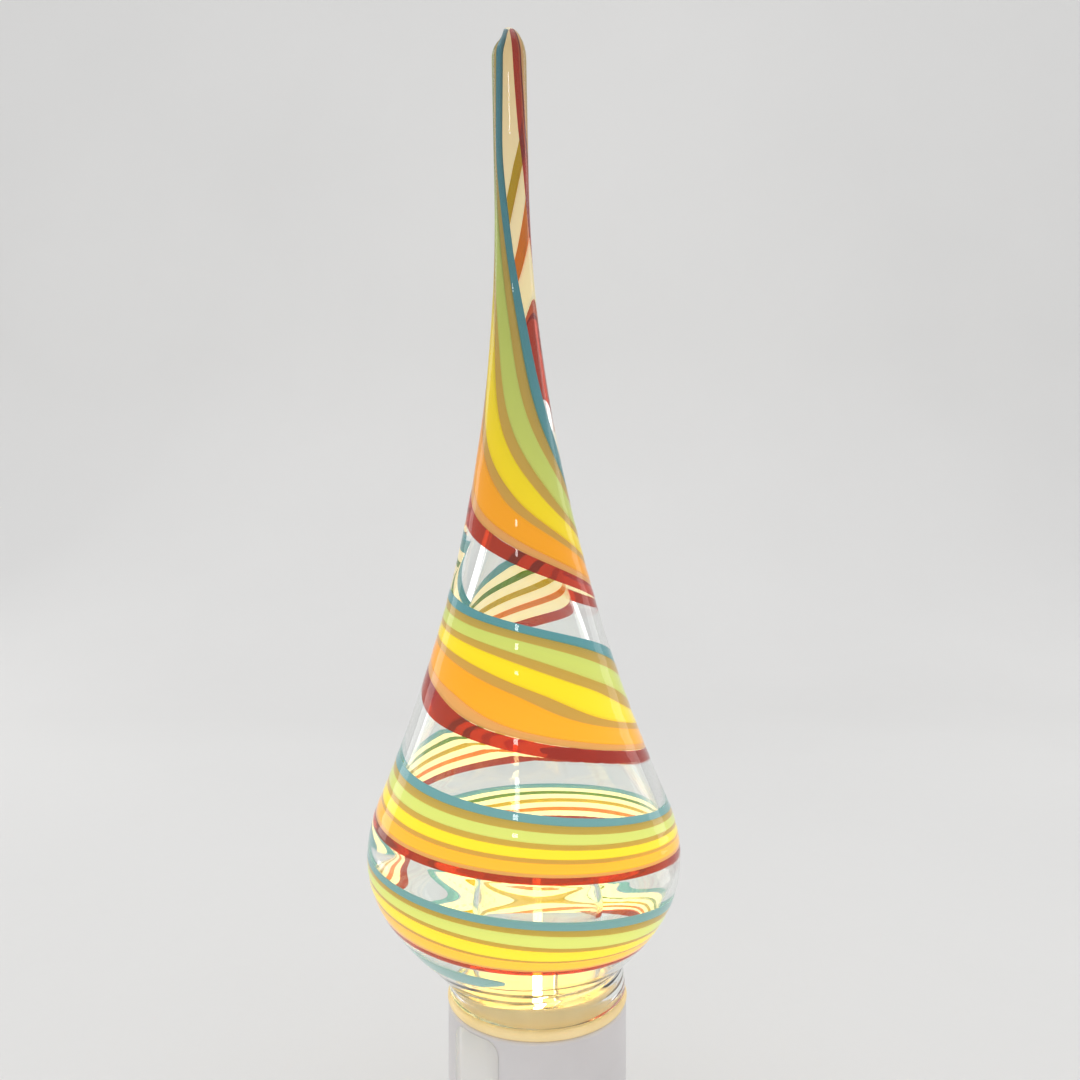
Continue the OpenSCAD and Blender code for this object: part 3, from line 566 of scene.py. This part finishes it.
@dataclass
class BlownShade:
    """Blown glass teardrop with a long spire: a clear wall with a twisted ribbon of coloured canes in it.

    Sizes are in millimetres, angles in degrees, and heights are above the glass lip. The belly leans out of
    the neck, so the neck keeps its own axis and the rest follows a bent middle line.
    """

    # Outlines of the outside and of the hollow.
    foot_r: float = 10.9
    foot_h: float = 1.2
    foot_swell: float = 1.3
    foot_rise: float = 3.6
    belly_h: float = 19.3
    belly_under: float = 9.0
    belly_round: float = 18.0
    wall: float = 1.6
    lean: float = 21.0
    lead: float = 5.7
    spire_r: float = 2.48
    spire_h: float = 113.5
    spire_run: float = 48.0
    tip_h: float = 4.4
    tip_point: float = 1.3
    hollow_h: float = 83.0
    hollow_run: float = 22.0
    lip: Sequence[Point] = ((0, 11.65), (0.12, 12.15), (0.4, 12.4), (1.0, 12.4), (2.4, 12.2), (5.4, 12.1))
    bore: Sequence[Point] = ((0, 11.65), (0.12, 11.1), (0.4, 10.85), (5.4, 10.85))
    bend: Sequence[Point] = ((0, -1.4), (10, -1.6), (19, -1.83), (40, -2.1), (60, -2.35), (80, -2.8),
                             (100, -3.35), (120, -3.8), (136, -4.1))

    # Room kept inside the solid's box at the tip and at the sides.
    tip_gap: float = 0.02
    side_gap: float = 0.05

    # Steps of the outlines, and rows and columns of the meshes.
    belly_steps: int = 60
    shoulder_steps: int = 20
    taper_steps: int = 160
    tip_steps: int = 24
    sides: int = 112
    turn_step: float = 5.0
    turn_probe: float = 0.2
    least_turn: float = 0.1
    height_step: float = 0.8
    neck_step: float = 0.3
    neck_from: float = 0.7
    neck_run: float = 7.2
    tip_rows: int = 16
    near_enough: float = 0.0005
    cane_step: float = 4.5
    least_steps: int = 4
    least_r: float = 0.1

    # Ribbon of canes: its twist over the height, and how far the canes slip in the spire.
    ribbon_low: float = 7.2
    ribbon_width: float = 220.0
    foot_run: float = 3.6
    taper_end: float = 0.05
    streak_turn: float = 20.0
    streak_rise: float = 40.0
    twist: Sequence[Point] = ((1.8, -560), (5, -430), (7.2, -341), (9, -289), (11, -190), (13, -120),
                              (17, -30), (21, 85), (24, 193), (27, 284), (31, 378), (39, 539), (44, 591),
                              (49, 655), (54, 754), (59, 847), (64, 915), (69, 962), (79, 1016), (94, 1052),
                              (104, 1080), (113, 1107), (118, 1116), (126, 1110), (137, 1100))
    slip: Sequence[Point] = ((74, 0), (82, 0.5), (92, 0.55), (104, 0.9), (116, 1.1), (121, 1.5), (127, 1.9),
                             (135, 2.3))
    canes: Sequence[Cane] = (
        Cane("teal_cane", 0, 21.6, 0.12, 0.7, TEAL, foot=50),
        Cane("green_cane", -43.3, 30.3, 0.12, 0.38, GREEN),
        Cane("yellow_cane", -90.7, 31.0, 0.12, 0.38, YELLOW),
        Cane("orange_cane", -137.0, 38.3, 0.12, 0.38, ORANGE),
        Cane("red_cane", -191.5, 28.3, 0.12, 0.7, RED, lag=46),
        Cane("peach_strip", -175.6, 15.6, 0.3, 0.12, PEACH, lag=46),
        # The casing is white glass: tan outside with painted shade, cream inside where the bulb lights it.
        Cane("white_casing", -21.6, 169.9, 0.52, 0.3, SHADED_CASING, LIT, spread=46),
        Cane("green_line", -51.0, 18.5, 0.88, 0.1, INNER_GREEN, lag=46, taper=14, top=118),
        Cane("yellow_line", -97.5, 18.5, 0.88, 0.1, INNER_YELLOW, lag=46),
        Cane("orange_line", -144.0, 18.5, 0.88, 0.1, INNER_ORANGE, lag=46),
    )

    # Relief of the faces: over the canes, along the ribbon, in the neck, inside the belly and at the tip.
    cane_pitch: float = 46.5
    cane_relief: float = 0.02
    relief_from: float = 3.0
    ridge: float = 0.012
    ridge_at: float = -290.0
    ridges: int = 2
    ripple: float = 0.05
    ripple_pitch: float = 1.9
    ripple_sway: float = 1.5
    ripple_lobes: int = 2
    swell: float = 0.65
    swell_h: float = 21.4
    swell_width: float = 2.5
    lobe_at: float = 0.42
    lobe_soft: float = 0.06
    lobe_drop: float = 1.3
    notch: float = 0.14
    notch_width: float = 0.16

    # Taken from the frame.
    axis: Vector = field(init=False)
    height: float = field(init=False)
    belly_r: float = field(init=False)
    outer: list[Point] = field(init=False)
    inner: list[Point] = field(init=False)

    def __post_init__(self) -> None:
        """Take the lip, the tip, the belly and the axis from the frame, and draw the two outlines."""
        low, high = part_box("glass_shade")
        seat_low, seat_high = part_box("seat_ring")
        self.axis = Vector(((seat_low.x + seat_high.x) / 2, (seat_low.y + seat_high.y) / 2, low.z))
        self.height = (high.z - low.z) / MM - self.tip_gap
        self.belly_r = (high.y - low.y) / 2 / MM - self.side_gap
        tip = self.height - self.tip_h
        self.outer = (
            self.low_curve(self.foot_r, self.belly_r)
            + self.high_curve(self.belly_r, self.belly_round,
                              (self.spire_r, self.spire_h - self.spire_run), (self.spire_r, self.spire_h))
            + cubic(((self.spire_r, tip), (self.spire_r, tip + self.tip_h / 2),
                     (self.tip_point, self.height), (0, self.height)), self.tip_steps))
        self.inner = (
            self.low_curve(self.foot_r - self.wall, self.belly_r - self.wall)
            + self.high_curve(self.belly_r - self.wall, self.belly_round - self.wall,
                              (self.spire_r, self.hollow_h - self.hollow_run), (0, self.hollow_h)))

    def low_curve(self, foot: float, belly: float) -> list[Point]:
        """Draw the belly from its foot in the neck up to the widest place.

        Args:
            foot: radius at the foot.
            belly: radius at the widest place.

        Returns:
            Radius and height of each point.
        """
        ends = ((foot, self.foot_h), (foot + self.foot_swell, self.foot_h + self.foot_rise),
                (belly, self.belly_h - self.belly_under), (belly, self.belly_h))
        return [(foot, 0)] + cubic(ends, self.belly_steps)

    def high_curve(self, belly: float, shoulder: float, run: Point, top: Point) -> list[Point]:
        """Draw the shoulder and the taper above the widest place.

        Args:
            belly: radius at the widest place.
            shoulder: radius of the shoulder's arc.
            run: the handle on which the taper runs out.
            top: where the taper ends.

        Returns:
            Radius and height of each point.
        """
        centre = (belly - shoulder, self.belly_h)
        round_part = arc(centre, shoulder, 0, self.lean, self.shoulder_steps)[1:]
        lean = math.radians(self.lean)
        leave = round_part[-1]
        handle = (leave[0] - self.lead * math.sin(lean), leave[1] + self.lead * math.cos(lean))
        return round_part + cubic((leave, handle, run, top), self.taper_steps)[1:]

    def middle(self, height: float) -> Vector:
        """Give the middle of the glass at a height."""
        return self.axis + Vector((between(self.bend, height) * MM, 0, height * MM))

    @staticmethod
    def radius(outline: Sequence[Point], height: float) -> float:
        """Give an outline's radius at a height.

        Args:
            outline: radius and height of each point.
            height: the height to read.

        Returns:
            The radius, held at the outline's end.
        """
        for (r0, h0), (r1, h1) in pairwise(outline):
            if h0 <= height < h1:
                return r0 + (r1 - r0) * (height - h0) / (h1 - h0)
        return outline[-1][0]

    def heights(self, low: float, high: float) -> list[float]:
        """List heights for rows: close together where the twist is quick.

        Args:
            low: the first height.
            high: the last height.

        Returns:
            The heights, with both ends.
        """
        found = [low]
        while found[-1] < high:
            here = found[-1]
            turn = abs(between(self.twist, here + self.turn_probe) - between(self.twist, here))
            rate = max(turn / self.turn_probe, self.least_turn)
            found.append(here + min(self.height_step, self.turn_step / rate))
        found[-1] = high
        return found

    def wall_face(self, bm: bmesh.types.BMesh, outline: Sequence[Point], neck: Sequence[Point],
                  outside: bool) -> None:
        """Turn one face of the wall, bend it along the middle line and give the neck its own axis.

        The outside face rises a little over each cane. The inside face runs in broad ridges along the
        ribbon, which bend the view through the clear glass.

        Args:
            bm: mesh that gets the face.
            outline: radius and height of each point of the face.
            neck: height and least radius around the neck's axis.
            outside: whether this is the outside face.
        """
        top = outline[-1][1]
        lip_rows = [h for h, _ in neck[:-1]]
        neck_rows = [self.neck_from + self.neck_step * i for i in range(int(self.neck_run / self.neck_step))]
        tip_rows = [top - self.tip_h * (1 - i / self.tip_rows) ** 2 for i in range(self.tip_rows + 1)]
        high_rows = self.heights(self.ribbon_low, tip_rows[0])[:-1]
        levels = sorted({*lip_rows, *neck_rows, *high_rows, *tip_rows})
        rows = [(h, between(self.bend, h) * MM, between(self.twist, h)) for h in levels]
        for vert in spin_outline(bm, [(self.radius(outline, h), h) for h in levels], self.axis, self.sides):
            flat = Vector((vert.co.x - self.axis.x, vert.co.y - self.axis.y, 0))
            above = bisect(levels, (vert.co.z - self.axis.z) / MM - self.near_enough)
            height, shift, twist = rows[min(above, len(rows) - 1)]
            if flat.length > self.relief_from * MM and height > self.ribbon_low:
                phase = (math.degrees(math.atan2(flat.x, -flat.y)) + twist) % 360 - 360
                flat *= 1 + self.relief(phase, height, outside) * MM / flat.length
            drop = self.shape_tip(flat, height) if outside else 0.0
            least = between(neck, height) * MM
            if height > self.foot_h:
                flat.x += shift
            if height <= self.foot_h or height <= neck[-1][0] and flat.length < least:
                flat *= least / flat.length
            if not outside and self.foot_h < height <= self.ribbon_low:
                sway = self.ripple_sway * math.sin(self.ripple_lobes * math.atan2(flat.x, -flat.y))
                turn = math.tau * height / self.ripple_pitch + sway
                flat *= 1 + self.ripple * MM * math.sin(turn) / flat.length
            vert.co = self.axis + flat + Vector((0, 0, height * MM - drop))

    def shape_tip(self, flat: Vector, height: float) -> float:
        """Notch the tip where the glass was pulled off, which leaves a lower lobe on its left.

        Args:
            flat: a place's distance from the middle, which the notch draws in.
            height: its height above the lip.

        Returns:
            How far the place drops, in metres.
        """
        share = (height - self.height + self.tip_h) / self.tip_h
        if share <= 0:
            return 0.0
        side = flat.x / (self.spire_r * MM) + self.lobe_at
        flat *= 1 - self.notch * share * math.exp(-(side / self.notch_width) ** 2)
        return self.lobe_drop * MM * share / (1 + math.exp(side / self.lobe_soft))

    def relief(self, phase: float, height: float, outside: bool) -> float:
        """Give a face's rise at a place on the wall.

        Args:
            phase: the place in degrees, 0 at the ribbon's edge and falling across it.
            height: the place above the lip.
            outside: whether this is the outside face.

        Returns:
            The rise in millimetres.
        """
        if not outside:
            swell = self.swell * math.exp(-((height - self.swell_h) / self.swell_width) ** 2)
            return self.ridge * math.cos(math.radians(self.ridges * (phase - self.ridge_at))) - swell
        if phase < -self.ribbon_width:
            return 0.0
        return self.cane_relief * (1 - math.cos(math.tau * phase / self.cane_pitch))

    def build_wall(self) -> bpy.types.Object:
        """Make the clear wall: an outside and an inside face that meet at the lip.

        Returns:
            The piece.
        """
        bm = bmesh.new()
        self.wall_face(bm, self.outer, self.lip, True)
        self.wall_face(bm, self.inner, self.bore, False)
        return finish_mesh(bm, "clear_glass_wall", BLOWN_GLASS.make())

    def build_cane(self, cane: Cane, light: Vector) -> bpy.types.Object:
        """Make one cane: a flat strip laid up the twisting glass, then given its thickness.

        Args:
            cane: the cane to make.
            light: the bulb's brightest place.

        Returns:
            The piece.
        """
        bm = bmesh.new()
        across = bm.verts.layers.float.new("across")
        along = bm.verts.layers.float.new("along")
        levels = self.heights(self.ribbon_low, cane.top)
        steps = max(self.least_steps, round(cane.width / self.cane_step))
        bmesh.ops.create_grid(bm, x_segments=steps, y_segments=len(levels) - 1, size=1)
        rows = [(self.middle(h), max(self.least_r, self.radius(self.outer, h) - cane.depth) * MM,
                 between(self.twist, h), between(self.slip, h)) for h in levels]
        for vert in bm.verts:
            share = (vert.co.x + 1) / 2
            level = round((vert.co.y + 1) / 2 * (len(levels) - 1))
            middle, radius, twist, slip = rows[level]
            height = levels[level]
            rise = min(1.0, (height - self.ribbon_low) / self.foot_run)
            flare = cane.foot * math.sin(math.pi * rise) * (1 - share)
            narrow = min(1.0, self.taper_end + (cane.top - height) / cane.taper) if cane.taper else 1.0
            share = 0.5 + (share - 0.5) * narrow
            place = cane.start + flare - cane.lag * slip - (cane.width + cane.spread * slip) * share
            angle = math.radians(place - twist)
            vert[across] = cane.width * share / self.streak_turn
            vert[along] = height / self.streak_rise
            flat = radius * Vector((math.sin(angle), -math.cos(angle), 0))
            drop = self.shape_tip(flat, height)
            vert.co = middle + flat - Vector((0, 0, drop))
        looks = [cane.finish.make(light)] + ([cane.inner.make(light)] if cane.inner else [])
        piece = finish_mesh(bm, cane.name, *looks)
        solid = piece.modifiers.new("thickness", "SOLIDIFY")
        solid.thickness = cane.thick * MM
        solid.offset = -1
        solid.material_offset = len(looks) - 1
        solid.material_offset_rim = len(looks) - 1
        return piece

    def build(self, light: Vector) -> None:
        """Make the wall and its canes, and let them ride on the shade.

        Args:
            light: the bulb's brightest place.
        """
        wall = self.build_wall()
        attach(wall, "shade")
        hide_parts("glass_shade")
        for cane in self.canes:
            piece = self.build_cane(cane, light)
            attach(piece, "shade")


@dataclass
class Bulb:
    """Clear tubular bulb on a small screw cap, with a glowing filament on its stem.

    Sizes are in millimetres. The shoulder's heights are above the cap.
    """

    wall: float = 0.7
    neck_r: float = 4.7
    neck_swell: float = 0.6
    neck_rise: float = 2.4
    shoulder_h: float = 3.2
    full_h: float = 8.0
    steps: int = 24
    sides: int = 96

    # Taken from the frame.
    axis: Vector = field(init=False)
    radius: float = field(init=False)
    top: float = field(init=False)
    foot: float = field(init=False)
    cap_top: float = field(init=False)
    light: Vector = field(init=False)

    def __post_init__(self) -> None:
        """Take the bulb's place from the frame."""
        low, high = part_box("bulb_glass")
        self.axis = Vector(((low.x + high.x) / 2, (low.y + high.y) / 2, 0))
        self.radius = (high.x - low.x) / 2 / MM
        self.top = high.z / MM
        self.foot = low.z / MM
        self.cap_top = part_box("bulb_cap")[1].z / MM
        wire_low, wire_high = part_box("filament")
        self.light = (wire_low + wire_high) / 2

    def line(self, inset: float) -> list[Point]:
        """Draw the bulb's half outline above the cap.

        Args:
            inset: how far it is drawn in from the outside.

        Returns:
            Radius and height of each point.
        """
        neck, wide = self.neck_r - inset, self.radius - inset
        ends = ((neck, self.cap_top), (neck + self.neck_swell, self.cap_top + self.neck_rise),
                (wide, self.cap_top + self.shoulder_h), (wide, self.cap_top + self.full_h))
        return cubic(ends, self.steps) + arc((0, self.top - self.radius), wide, 0, 90, self.steps)[1:]

    def build(self) -> None:
        """Make the bulb's glass."""
        outer_foot, inner_foot = (self.neck_r, self.foot), (self.neck_r - self.wall, self.foot)
        outline = [outer_foot, *self.line(0), *self.line(self.wall)[::-1], inner_foot, outer_foot]
        bm = bmesh.new()
        spin_outline(bm, outline, self.axis, self.sides)
        glass = finish_mesh(bm, "bulb_envelope", BULB_GLASS.make())
        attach(glass, "bulb")
        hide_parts("bulb_glass")

    def dress(self) -> None:
        """Dress what stands in the bulb, and its cap."""
        dress(STEM_GLASS.make(), "bulb_stem")
        dress(PHOSPHOR.material(), "filament")
        dress(STEEL.material(), "filament_wires")
        dress(NICKEL.material(), "bulb_cap", "bulb_tip")
        dress(BLACK_GLASS.material(), "bulb_insulator")
        dress(LACQUER.material(), "bulb_driver")


@dataclass
class Plug:
    """Round plug that stays in the outlet, with its two blades and the swivel's washer and screws."""

    def dress(self) -> None:
        """Dress the plug's cover, blades and fixings."""
        dress(PLUG_PLASTIC.material(), "plug_body")
        dress(BRASS.material(), "live_blade", "neutral_blade")
        dress(STEEL.material(), "swivel_washer", "swivel_screws")


@dataclass
class LampBody:
    """White cup that carries the glass on a soft ring, with a blank film on its front.

    Sizes are in millimetres, and angles in degrees from the front, to the right.
    """

    film_width: float = 8.2
    film_height: float = 15.0
    film_corner: float = 2.0
    film_thick: float = 0.06
    film_lift: float = 0.06
    film_turn: float = -42.0
    film_below_rim: float = 0.5
    film_cuts: int = 24
    film_cut_gap: float = 0.0001
    corner_steps: int = 8
    corner_round: float = 0.5

    def build_film(self) -> None:
        """Make the film: a sheet with rounded corners, laid around the cup."""
        low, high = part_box("bottom_cap")
        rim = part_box("lamp_body")[1].z
        radius = (high.x - low.x) / 2 + self.film_lift * MM
        axis = Vector(((low.x + high.x) / 2, (low.y + high.y) / 2, 0))
        wide, tall = self.film_width * MM, self.film_height * MM
        bm = bmesh.new()
        bmesh.ops.create_grid(bm, x_segments=1, y_segments=1, size=0.5)
        bmesh.ops.scale(bm, vec=(wide, tall, 1), verts=bm.verts[:])
        bmesh.ops.bevel(bm, geom=bm.verts[:], offset=self.film_corner * MM, offset_type="OFFSET",
                        segments=self.corner_steps, profile=self.corner_round, affect="VERTICES", material=-1)
        for i in range(1, self.film_cuts):
            cut = wide * (i / self.film_cuts - 0.5)
            bmesh.ops.bisect_plane(bm, geom=bm.verts[:] + bm.edges[:] + bm.faces[:],
                                   dist=self.film_cut_gap * MM, plane_co=(cut, 0, 0), plane_no=(1, 0, 0))
        for vert in bm.verts:
            angle = math.radians(self.film_turn) + vert.co.x / radius
            height = rim - self.film_below_rim * MM - tall / 2 + vert.co.y
            vert.co = axis + Vector((radius * math.sin(angle), -radius * math.cos(angle), height))
        film = finish_mesh(bm, "blank_film", FILM.material())
        solid = film.modifiers.new("thickness", "SOLIDIFY")
        solid.thickness = self.film_thick * MM
        solid.offset = 0
        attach(film, "lamp")

    def dress(self) -> None:
        """Dress the cup, its cap and the ring under the glass."""
        dress(BODY_PLASTIC.material(), "lamp_body", "bottom_cap")
        dress(STEEL.material(), "cap_screws")
        dress(SILICONE.material(), "seat_ring")


@dataclass
class Socket:
    """Small screw socket: a brass shell and a centre contact on a porcelain block."""

    def dress(self) -> None:
        """Dress the block, the contacts and the screws."""
        dress(PORCELAIN.material(), "socket_insulator")
        dress(TURNED_BRASS.material(), "screw_shell")
        dress(BRASS.material(), "centre_contact")
        dress(STEEL.material(), "socket_screws")


@dataclass
class SwivelContacts:
    """Fibre plate with a post and a ring, which take the current across the swivel."""

    def dress(self) -> None:
        """Dress the plate and its contacts."""
        dress(FIBRE.material(), "contact_plate")
        dress(TURNED_BRASS.material(), "live_post", "neutral_ring")


@dataclass
class SlideSwitch:
    """Slide switch in the front of the cup, with its contacts and the two leads."""

    def dress(self) -> None:
        """Dress the slider, the frame, the contacts and the leads."""
        dress(PLUG_PLASTIC.material(), "switch_slider")
        dress(NYLON.material(), "switch_frame")
        dress(BRASS.material(), "switch_bridge", "switch_contacts", "switch_strip")
        dress(BLACK_PVC.material(), "live_lead")
        dress(WHITE_PVC.material(), "neutral_lead")


@dataclass(frozen=True)
class SoftLamp:
    """A soft lamp: its place and its face's width and height in millimetres, and its power in watts."""

    name: str
    place: tuple[float, float, float]
    size: Point
    watts: float


@dataclass
class Studio:
    """Pale sweep, soft lamps and the camera. Lengths are in millimetres."""

    floor_gap: float = 0.2
    half_width: float = 1500.0
    back: float = 700.0
    bend: float = 300.0
    bend_steps: int = 24
    wall: float = 1500.0
    front: float = 1200.0
    aim: tuple[float, float, float] = (0, -30, 60)
    lamps: Sequence[SoftLamp] = (
        SoftLamp("left_strip", (-560, 330, 260), (200, 700), 0.5),
        SoftLamp("right_strip", (600, 330, 240), (200, 700), 0.4),
        SoftLamp("overhead", (-60, -60, 800), (700, 700), 0.9),
        SoftLamp("spark", (-60, -700, 470), (50, 50), 0.1),
    )
    room_colour: str = "#F4F5F7"
    room_strength: float = 0.94
    camera_at: tuple[float, float, float] = (0.38, -157.9, 85.95)
    camera_tilt: float = 90.0
    sensor: float = 36.0
    lens: float = 30.0
    clip: float = 5.0

    def build_sweep(self) -> None:
        """Make the floor and the backdrop as one bent sheet."""
        low = CAD_BOX[0][2] / MM - self.floor_gap
        centre = (self.back - self.bend, low + self.bend)
        profile = ([(-self.front, low)] + arc(centre, self.bend, -90, 0, self.bend_steps)
                   + [(self.back, low + self.wall)])
        bm = bmesh.new()
        verts = [bm.verts.new((-self.half_width * MM, y * MM, z * MM)) for y, z in profile]
        edges = [bm.edges.new(pair) for pair in pairwise(verts)]
        grown = bmesh.ops.extrude_edge_only(bm, edges=edges)["geom"]
        moved = [g for g in grown if isinstance(g, bmesh.types.BMVert)]
        bmesh.ops.translate(bm, vec=(2 * self.half_width * MM, 0, 0), verts=moved)
        sheet = finish_mesh(bm, "sweep", PAPER.make())

    def build_lamp(self, soft: SoftLamp) -> None:
        """Hang one soft lamp.

        Args:
            soft: the lamp to hang.
        """
        data = bpy.data.lights.new(soft.name, "AREA")
        data.shape = "RECTANGLE"
        data.size, data.size_y = soft.size[0] * MM, soft.size[1] * MM
        data.energy = soft.watts
        lamp = bpy.data.objects.new(soft.name, data)
        lamp.location = Vector(soft.place) * MM
        lamp.rotation_euler = (Vector(soft.place) - Vector(self.aim)).to_track_quat("Z", "Y").to_euler()
        bpy.context.scene.collection.objects.link(lamp)

    def build_world(self) -> None:
        """Fill the room with even light."""
        world = bpy.data.worlds.new("room")
        world.use_nodes = True
        back = world.node_tree.nodes["Background"]
        back.inputs["Color"].default_value = linear(self.room_colour)
        back.inputs["Strength"].default_value = self.room_strength
        bpy.context.scene.world = world

    def build_camera(self) -> None:
        """Set the camera where the photograph was taken from."""
        data = bpy.data.cameras.new("camera")
        data.sensor_width = self.sensor
        data.lens = self.lens
        data.clip_start = self.clip * MM
        camera = bpy.data.objects.new("camera", data)
        camera.location = Vector(self.camera_at) * MM
        camera.rotation_euler = (math.radians(self.camera_tilt), 0, 0)
        bpy.context.scene.collection.objects.link(camera)
        bpy.context.scene.camera = camera

    def build(self) -> None:
        """Set up the whole studio."""
        self.build_camera()
        self.build_sweep()
        self.build_world()
        for soft in self.lamps:
            self.build_lamp(soft)
        bpy.context.scene.view_settings.view_transform = "Standard"


def main() -> None:
    """Build the studio, then each sub-assembly."""
    logging.basicConfig(level=logging.INFO, format="%(message)s")
    Studio().build()
    bulb = Bulb()
    bulb.build()
    bulb.dress()
    BlownShade().build(bulb.light)
    body = LampBody()
    body.build_film()
    for assembly in (Plug(), body, Socket(), SwivelContacts(), SlideSwitch()):
        assembly.dress()
    bpy.context.view_layer.update()


if __name__ == "__main__":
    main()
